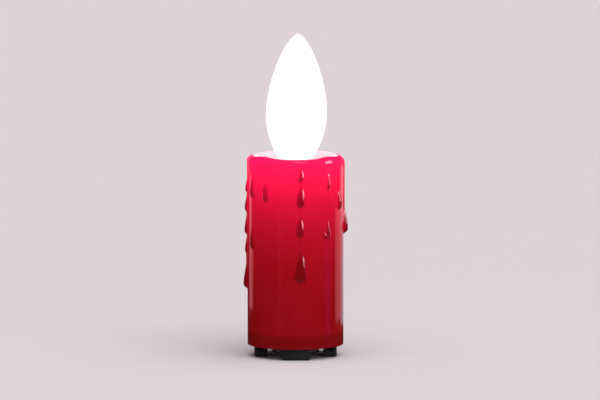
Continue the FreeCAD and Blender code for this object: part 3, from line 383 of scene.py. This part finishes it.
class Material:
    """A Principled material and short ways to add nodes to it."""

    def __init__(self, name, colour, roughness, more=None):
        self.data = bpy.data.materials.new(name)
        self.data.use_nodes = True
        self.nodes = self.data.node_tree.nodes
        self.links = self.data.node_tree.links
        self.shader = self.nodes["Principled BSDF"]
        self.set("Base Color", (*colour, 1.0))
        self.set("Roughness", roughness)
        for socket, value in (more or {}).items():
            self.set(socket, value)
        self.coordinates = self.add("ShaderNodeTexCoord").outputs["Object"]

    def set(self, socket, value):
        self.shader.inputs[socket].default_value = value

    def add(self, kind, **values):
        node = self.nodes.new(kind)
        for key, value in values.items():
            setattr(node, key, value)
        return node

    def feed(self, source, target):
        self.links.new(source, target)

    def noise(self, scale, detail=3.0, roughness=0.55, stretch=(1, 1, 1)):
        """Noise over the object's own coordinates, drawn out along an axis where its stretch is below 1."""
        mapping = self.add("ShaderNodeMapping")
        mapping.inputs["Scale"].default_value = stretch
        self.feed(self.coordinates, mapping.inputs["Vector"])
        texture = self.add("ShaderNodeTexNoise")
        texture.inputs["Scale"].default_value = scale
        texture.inputs["Detail"].default_value = detail
        texture.inputs["Roughness"].default_value = roughness
        self.feed(mapping.outputs["Vector"], texture.inputs["Vector"])
        return texture.outputs["Fac"]

    def ramp(self, source, stops):
        """Colours by the source's value, from stops of (value, colour)."""
        node = self.add("ShaderNodeValToRGB")
        elements = node.color_ramp.elements
        while len(elements) < len(stops):
            elements.new(0.5)
        for element, (place, colour) in zip(elements, stops):
            element.position = place
            element.color = (*colour, 1.0)
        self.feed(source, node.inputs["Fac"])
        return node.outputs["Color"]

    def scaled(self, source, low, high, to_low=0.0, to_high=1.0):
        node = self.add("ShaderNodeMapRange")
        for name, value in zip(("From Min", "From Max", "To Min", "To Max"), (low, high, to_low, to_high)):
            node.inputs[name].default_value = value
        self.feed(source, node.inputs["Value"])
        return node.outputs["Result"]

    def calculate(self, operation, a, b):
        node = self.add("ShaderNodeMath", operation=operation)
        for socket, value in zip(node.inputs, (a, b)):
            if isinstance(value, (int, float)):
                socket.default_value = value
            else:
                self.feed(value, socket)
        return node.outputs[0]

    def place_in_step(self, source, step):
        """Where the source stands within each step, from 0 to 1."""
        node = self.add("ShaderNodeMath", operation="FRACT")
        self.feed(self.calculate("DIVIDE", source, step), node.inputs[0])
        return node.outputs[0]

    def product(self, first, *others):
        for value in others:
            first = self.calculate("MULTIPLY", first, value)
        return first

    def fade(self, depth, length):
        """1 at no depth, and less by a factor e for each length further."""
        return self.calculate("POWER", 1 / math.e, self.calculate("DIVIDE", depth, length))

    def mix(self, factor, a, b):
        node = self.add("ShaderNodeMix", data_type="RGBA")
        for name, value in (("Factor_Float", factor), ("A_Color", a), ("B_Color", b)):
            socket = next(s for s in node.inputs if s.identifier == name)
            if isinstance(value, (int, float)):
                socket.default_value = value
            elif isinstance(value, tuple):
                socket.default_value = (*value, 1.0)
            else:
                self.feed(value, socket)
        return next(s for s in node.outputs if s.identifier == "Result_Color")

    def radius(self):
        """Distance from the candle's axis."""
        flat = self.add("ShaderNodeCombineXYZ")
        self.feed(self.axis("X"), flat.inputs["X"])
        self.feed(self.axis("Y"), flat.inputs["Y"])
        length = self.add("ShaderNodeVectorMath", operation="LENGTH")
        self.feed(flat.outputs[0], length.inputs[0])
        return length.outputs["Value"]

    def world_up(self):
        """How far the surface faces up, from -1 to 1."""
        node = self.add("ShaderNodeSeparateXYZ")
        self.feed(self.add("ShaderNodeNewGeometry").outputs["Normal"], node.inputs[0])
        return node.outputs["Z"]

    def axis(self, letter):
        node = self.add("ShaderNodeSeparateXYZ")
        self.feed(self.coordinates, node.inputs[0])
        return node.outputs[letter]

    def bump(self, source, distance, strength):
        node = self.add("ShaderNodeBump")
        node.inputs["Distance"].default_value = distance
        node.inputs["Strength"].default_value = strength
        self.feed(source, node.inputs["Height"])
        self.feed(node.outputs["Normal"], self.shader.inputs["Normal"])

    def only_from_above(self):
        """Leaves the surface's underside clear, so that the object can be looked at from below."""
        clear = self.add("ShaderNodeBsdfTransparent")
        mix = self.add("ShaderNodeMixShader")
        self.feed(self.add("ShaderNodeNewGeometry").outputs["Backfacing"], mix.inputs["Fac"])
        self.feed(self.shader.outputs[0], mix.inputs[1])
        self.feed(clear.outputs[0], mix.inputs[2])
        self.feed(mix.outputs[0], self.nodes["Material Output"].inputs["Surface"])

    def rough(self, source, low, high):
        self.feed(self.scaled(source, NOISE_LOW, NOISE_HIGH, low, high), self.shader.inputs["Roughness"])

    def colour(self, source):
        self.feed(source, self.shader.inputs["Base Color"])


# Painted light: the shell's emission stands in for the LED's light shining through the translucent wall.
GLOW_FALL = 43 * MM         # the painted glow of the shell dims by a factor e over this depth below the rim
WAX_FALL = 2.2 * MM         # and over this thickness of wax
GLOW_STRENGTH = 1.6
GLOW_END = 120 * MM         # depth over which the glow turns from pink to plain red
DISH_GLOW_STRENGTH = -0.55       # added to the painted glow in the dish, where the painted light from the flame is pale and bright enough
DISH_GLOW_R = 43.6 * MM          # the dish's painted pale glow, light from the flame, ends between these radii
DISH_GLOW_END_R = 45.2 * MM
COLLAR_SHADE = (2.5 * MM, 1.0 * MM)     # the collar's dark edge, below and above its top


def red_plastic():
    """Glossy translucent red with a painted glow for the light from inside: strongest at the rim, and weaker
    where the wax is thick.
    """
    m = Material("red_plastic", (0.30, 0.003, 0.006), 0.14)
    z = m.axis("Z")
    radius = m.radius()
    depth = m.calculate("SUBTRACT", RIM_Z, z)
    wax = m.calculate("MAXIMUM", m.calculate("SUBTRACT", radius, SHELL_R), 0.0)
    # Painted shade: the glow and the base colour weaken through thick wax and on surfaces facing down.
    through = m.fade(wax, WAX_FALL)
    facing = m.scaled(m.world_up(), -0.6, 0.05, 0.4, 1.0)
    cloud = m.noise(30.0, 3.0)
    body = m.ramp(cloud, [(NOISE_LOW, (0.28, 0.0028, 0.005)), (NOISE_HIGH, (0.32, 0.0035, 0.008))])
    collar = m.scaled(z, COLLAR_TOP - COLLAR_SHADE[0], COLLAR_TOP + COLLAR_SHADE[1], 1.0, 0.0)
    shell = m.mix(collar, body, (0.20, 0.003, 0.004))
    # Painted shade: the base colour turns dark red on thick wax and on undersides.
    m.colour(m.mix(m.product(through, facing), (0.15, 0.0015, 0.004), shell))
    # Painted glow: emission for the light from inside, pink near the rim and plain red lower down, dimming
    # with depth.
    pink_to_red = [(0.0, (1.0, 0.007, 0.080)), (0.35, (1.0, 0.006, 0.075)), (1.0, (1.0, 0.004, 0.028))]
    hue = m.ramp(m.scaled(depth, 0.0, GLOW_END), pink_to_red)
    # Painted light from the flame: a pale pink glow over the dish.
    painted_dish_glow = m.product(m.scaled(radius, DISH_GLOW_R, DISH_GLOW_END_R, 1.0, 0.0), m.scaled(z, DISH_Z - 1 * MM, DISH_Z))
    m.feed(m.mix(painted_dish_glow, hue, (1.0, 0.78, 0.82)), m.shader.inputs["Emission Color"])
    glow = m.product(m.fade(depth, GLOW_FALL), GLOW_STRENGTH, through, facing)
    glow = m.calculate("ADD", glow, m.product(painted_dish_glow, DISH_GLOW_STRENGTH))
    m.feed(glow, m.shader.inputs["Emission Strength"])
    streaks = m.noise(60.0, 2.0, 0.5, (1.0, 1.0, 0.06))
    grain = m.product(m.noise(900.0, 2.0), 0.02)
    m.bump(m.calculate("ADD", streaks, grain), 0.35 * MM, 0.35)
    m.rough(cloud, 0.06, 0.12)
    return m.data


def opal_plastic():
    """Opal white, glowing evenly, a little warmer at the neck."""
    m = Material("opal_plastic", (0.92, 0.9, 0.86), 0.25, {"Coat Weight": 0.4, "Coat Roughness": 0.1})
    share = m.scaled(m.axis("Z"), flame_low.z, flame_high.z)
    glow = m.ramp(share, [(0.0, (1.0, 0.86, 0.72)), (0.22, (1.0, 0.97, 0.93)), (1.0, (1.0, 0.985, 0.96))])
    m.feed(glow, m.shader.inputs["Emission Color"])
    m.feed(m.scaled(share, 0.0, 0.5, 1.4, 2.2), m.shader.inputs["Emission Strength"])
    m.bump(m.noise(500.0, 2.0), 0.05 * MM, 0.3)
    return m.data


def moulded(name, colour, low, high, grain=1400.0, depth=0.03, coat=0.0):
    """Moulded plastic with a fine grain and slightly uneven tone."""
    m = Material(name, colour, low, {"Coat Weight": coat, "Coat Roughness": 0.12})
    cloud = m.noise(45.0, 4.0)
    dark = tuple(c * 0.86 for c in colour)
    light = tuple(min(1.0, c * 1.12 + 0.002) for c in colour)
    m.colour(m.ramp(cloud, [(0.32, dark), (0.68, light)]))
    m.rough(cloud, low, high)
    m.bump(m.noise(grain, 2.0), depth * MM, 0.5)
    return m.data


def metal(name, colour, low, high, stretch=(1, 1, 1)):
    """Plain metal with a fine uneven surface, brushed along the axis where it is stretched."""
    m = Material(name, colour, low, {"Metallic": 1.0})
    lay = m.noise(400.0, 3.0, 0.6, stretch)
    m.colour(m.ramp(lay, [(NOISE_LOW, tuple(c * 0.82 for c in colour)), (NOISE_HIGH, colour)]))
    m.rough(lay, low, high)
    m.bump(lay, 0.02 * MM, 0.35)
    return m.data


def cell_jacket():
    """Plain dark jacket with a copper-coloured band at the top and bare metal ends."""
    bare = (0.62, 0.62, 0.6)
    dark = (0.05, 0.055, 0.065)
    copper = (0.55, 0.3, 0.12)
    more = {"Metallic": 0.4, "Coat Weight": 0.5, "Coat Roughness": 0.1}
    m = Material("cell_jacket", dark, 0.3, more)
    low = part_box("battery_lower")[0].z
    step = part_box("battery_upper")[0].z - low
    up = m.calculate("SUBTRACT", m.axis("Z"), low)
    bands = [(0.0, bare), (0.012, dark), (0.76, dark), (0.77, copper), (0.94, copper), (0.95, bare)]
    m.colour(m.ramp(m.place_in_step(up, step), bands))
    m.rough(m.noise(300.0), 0.25, 0.4)
    m.bump(m.noise(700.0), 0.02 * MM, 0.3)
    return m.data


def materials():
    """One material for each slot in the record."""
    return {
        "red_plastic": red_plastic(),
        "opal_plastic": opal_plastic(),
        "white_plastic": moulded("white_plastic", (0.75, 0.75, 0.72), 0.4, 0.55),
        "black_plastic": moulded("black_plastic", (0.018, 0.019, 0.022), 0.38, 0.55, 1600.0, 0.05),
        "knob_plastic": moulded("knob_plastic", (0.45, 0.45, 0.44), 0.4, 0.5),
        "silicone": moulded("silicone", (0.3, 0.3, 0.29), 0.5, 0.65),
        "pad_rubber": moulded("pad_rubber", (0.015, 0.015, 0.015), 0.75, 0.9, 1100.0, 0.06),
        "aluminium": metal("aluminium", (0.72, 0.73, 0.75), 0.25, 0.4, stretch=(1, 1, 0.05)),
        "white_board": moulded("white_board", (0.75, 0.75, 0.72), 0.35, 0.45),
        "green_board": moulded("green_board", (0.012, 0.12, 0.04), 0.3, 0.42, coat=0.4),
        "led_yellow": moulded("led_yellow", (0.85, 0.6, 0.1), 0.3, 0.4),
        "chip_black": moulded("chip_black", (0.015, 0.015, 0.016), 0.45, 0.6),
        "ferrite": moulded("ferrite", (0.03, 0.03, 0.033), 0.5, 0.65),
        "capacitor_can": metal("capacitor_can", (0.5, 0.52, 0.56), 0.2, 0.32),
        "header_plastic": moulded("header_plastic", (0.68, 0.66, 0.58), 0.4, 0.5),
        "screw_steel": metal("screw_steel", (0.55, 0.55, 0.56), 0.28, 0.42),
        "spring_steel": metal("spring_steel", (0.68, 0.67, 0.65), 0.2, 0.32),
        "cell_jacket": cell_jacket(),
        "wire_red": moulded("wire_red", (0.4, 0.01, 0.01), 0.35, 0.5),
        "wire_black": moulded("wire_black", (0.012, 0.012, 0.012), 0.35, 0.5),
        "wire_white": moulded("wire_white", (0.7, 0.7, 0.68), 0.35, 0.5),
    }


def dress_frame(made):
    """Gives each CAD node the material of its slot in the record."""
    for part in frame["record"]["subparts"]:
        node = frame["nodes"][part["node"]]
        node.data.materials.clear()
        node.data.materials.append(made[part["material_slot"]])


# ---- floor, light and camera -------------------------------------------------------------------------
FLOOR_SIZE = 40.0
FLOOR_COLOUR = (0.785, 0.715, 0.74)


def pale_floor():
    """A plain floor, far wider than the picture. The gloss doesn't mirror it, and it shades nothing."""
    m = Material("pale_floor", FLOOR_COLOUR, 0.9, {"Specular IOR Level": 0.0})
    size = FLOOR_SIZE
    corners = [(-size, -size, 0), (size, -size, 0), (size, size, 0), (-size, size, 0)]
    m.only_from_above()
    floor = mesh_object("floor", corners, [(0, 1, 2, 3)], m.data)
    floor.visible_glossy = False
    floor.visible_shadow = False


def placed(name, light, location, away):
    """A light at its place, shining against the direction away."""
    holder = bpy.data.objects.new(name, light)
    holder.location = location
    holder.rotation_euler = (-away).to_track_quat("-Z", "Y").to_euler()
    bpy.context.scene.collection.objects.link(holder)
    return holder


def direction(azimuth, elevation):
    """Unit vector away from the candle; azimuth 0 is the camera's side, positive to the right."""
    a, e = math.radians(azimuth), math.radians(elevation)
    return Vector((math.sin(a) * math.cos(e), -math.cos(a) * math.cos(e), math.sin(e)))


def soft_sun(name, azimuth, elevation, strength, spread):
    """Even light for the whole scene, with no highlight of its own."""
    light = bpy.data.lights.new(name, "SUN")
    light.energy = strength
    light.angle = math.radians(spread)
    away = direction(azimuth, elevation)
    placed(name, light, away, away).visible_glossy = False


def gloss_card(name, azimuth, elevation, distance, size, radiance, colour, height):
    """A softbox that is only seen as a reflection."""
    light = bpy.data.lights.new(name, "AREA")
    light.shape = "RECTANGLE"
    light.size, light.size_y = size
    light.energy = math.pi * size[0] * size[1] * radiance
    light.color = colour
    away = direction(azimuth, elevation)
    card = placed(name, light, Vector((0, 0, height)) + away * distance, away)
    card.visible_camera = False
    card.visible_diffuse = False


# Suns: name, degrees round and up, strength, spread in degrees.
SUNS = [
    ("overhead", 30, 72, 1.9, 80),
    ("front", 25, 30, 0.8, 60),
    ("below", 0, -88, 1.2, 60),
]
# Cards: name, degrees round and up, distance, width and height, radiance, colour, height that they face.
CARDS = [
    ("left_band", -131, 0, 0.5, (0.19, 0.15), 1.1, (1.0, 0.36, 0.44), 0.065),
    ("left_edge", -160, 0, 0.5, (0.20, 0.20), 0.25, (1.0, 1.0, 1.0), 0.24),
    ("right_band", 120.5, 0, 0.5, (0.235, 0.125), 1.2, (1.0, 0.35, 0.44), 0.04),
    ("right_edge", 150, 0, 0.5, (0.28, 0.18), 0.62, (0.9, 0.93, 1.0), 0.06),
    ("right_edge_top", 150, 0, 0.5, (0.28, 0.16), 0.06, (0.9, 0.93, 1.0), 0.23),
    ("right_streak", 81, 0, 0.5, (0.11, 0.12), 0.2, (0.85, 0.1, 1.0), 0.02),
    ("left_streak", -36, 0, 0.5, (0.08, 0.14), 0.18, (1.0, 0.25, 0.3), 0.04),
    ("window", 86, 0, 0.8, (0.30, 0.38), 10.0, (1.0, 0.72, 0.90), 0.35),
    ("ceiling", 12, 55, 0.9, (0.34, 0.06), 9.0, (1.0, 0.85, 0.92), 0.15),
]
ROOM_COLOUR = (0.76, 0.715, 0.725, 1)       # what lights the candle from all round
ROOM_STRENGTH = 0.3
BACKDROP_COLOUR = (0.72, 0.66, 0.68, 1)     # what the camera sees behind it
# What the gloss mirrors outside the cards: brighter straight below than elsewhere.
MIRRORED = (("From Min", -0.8), ("From Max", -0.5), ("To Min", 0.08), ("To Max", 0.012))


def studio():
    """Suns and cards, with a plain backdrop that is nearly dark where the candle's gloss mirrors it."""
    for sun in SUNS:
        soft_sun(*sun)
    for card in CARDS:
        gloss_card(*card)
    world = bpy.data.worlds.new("studio")
    world.use_nodes = True
    nodes, links = world.node_tree.nodes, world.node_tree.links
    path = nodes.new("ShaderNodeLightPath")
    room = nodes["Background"]
    room.inputs["Color"].default_value = ROOM_COLOUR
    room.inputs["Strength"].default_value = ROOM_STRENGTH
    mirrored = nodes.new("ShaderNodeBackground")
    up = nodes.new("ShaderNodeSeparateXYZ")
    underneath = nodes.new("ShaderNodeMapRange")
    for name, value in MIRRORED:
        underneath.inputs[name].default_value = value
    links.new(nodes.new("ShaderNodeTexCoord").outputs["Generated"], up.inputs[0])
    links.new(up.outputs["Z"], underneath.inputs["Value"])
    links.new(underneath.outputs["Result"], mirrored.inputs["Color"])
    seen = nodes.new("ShaderNodeBackground")
    seen.inputs["Color"].default_value = BACKDROP_COLOUR
    glossy = nodes.new("ShaderNodeMixShader")
    whole = nodes.new("ShaderNodeMixShader")
    links.new(path.outputs["Is Glossy Ray"], glossy.inputs["Fac"])
    links.new(room.outputs[0], glossy.inputs[1])
    links.new(mirrored.outputs[0], glossy.inputs[2])
    links.new(path.outputs["Is Camera Ray"], whole.inputs["Fac"])
    links.new(glossy.outputs[0], whole.inputs[1])
    links.new(seen.outputs[0], whole.inputs[2])
    links.new(whole.outputs[0], nodes["World Output"].inputs["Surface"])
    bpy.context.scene.world = world
    bpy.context.scene.view_settings.view_transform = "Standard"


CAMERA_DISTANCE = 6.0
CAMERA_ELEVATION = math.radians(6.2)
CAMERA_AIM = Vector((4.7 * MM, 0, 163 * MM))
CAMERA_FIELD = 0.625        # width of the picture at the candle
SENSOR = 36.0


def camera():
    """A long lens, a little above the candle, with the candle a touch left of the middle."""
    lens = bpy.data.cameras.new("camera")
    lens.sensor_width = SENSOR
    lens.lens = SENSOR * CAMERA_DISTANCE / CAMERA_FIELD
    lens.clip_start, lens.clip_end = 0.1, 100.0
    away = Vector((0, -math.cos(CAMERA_ELEVATION), math.sin(CAMERA_ELEVATION)))
    holder = bpy.data.objects.new("camera", lens)
    holder.location = CAMERA_AIM + away * CAMERA_DISTANCE
    holder.rotation_euler = (-away).to_track_quat("-Z", "Y").to_euler()
    bpy.context.scene.collection.objects.link(holder)
    bpy.context.scene.camera = holder


# ---- the scene ---------------------------------------------------------------------------------------
made = materials()
dress_frame(made)
camera()
studio()
pale_floor()
shell = wax_shell(made["red_plastic"])
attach(shell, "candle")
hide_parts("candle_shell")
lens = opal_flame(made["opal_plastic"])
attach(lens, "candle")
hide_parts("flame_lens")
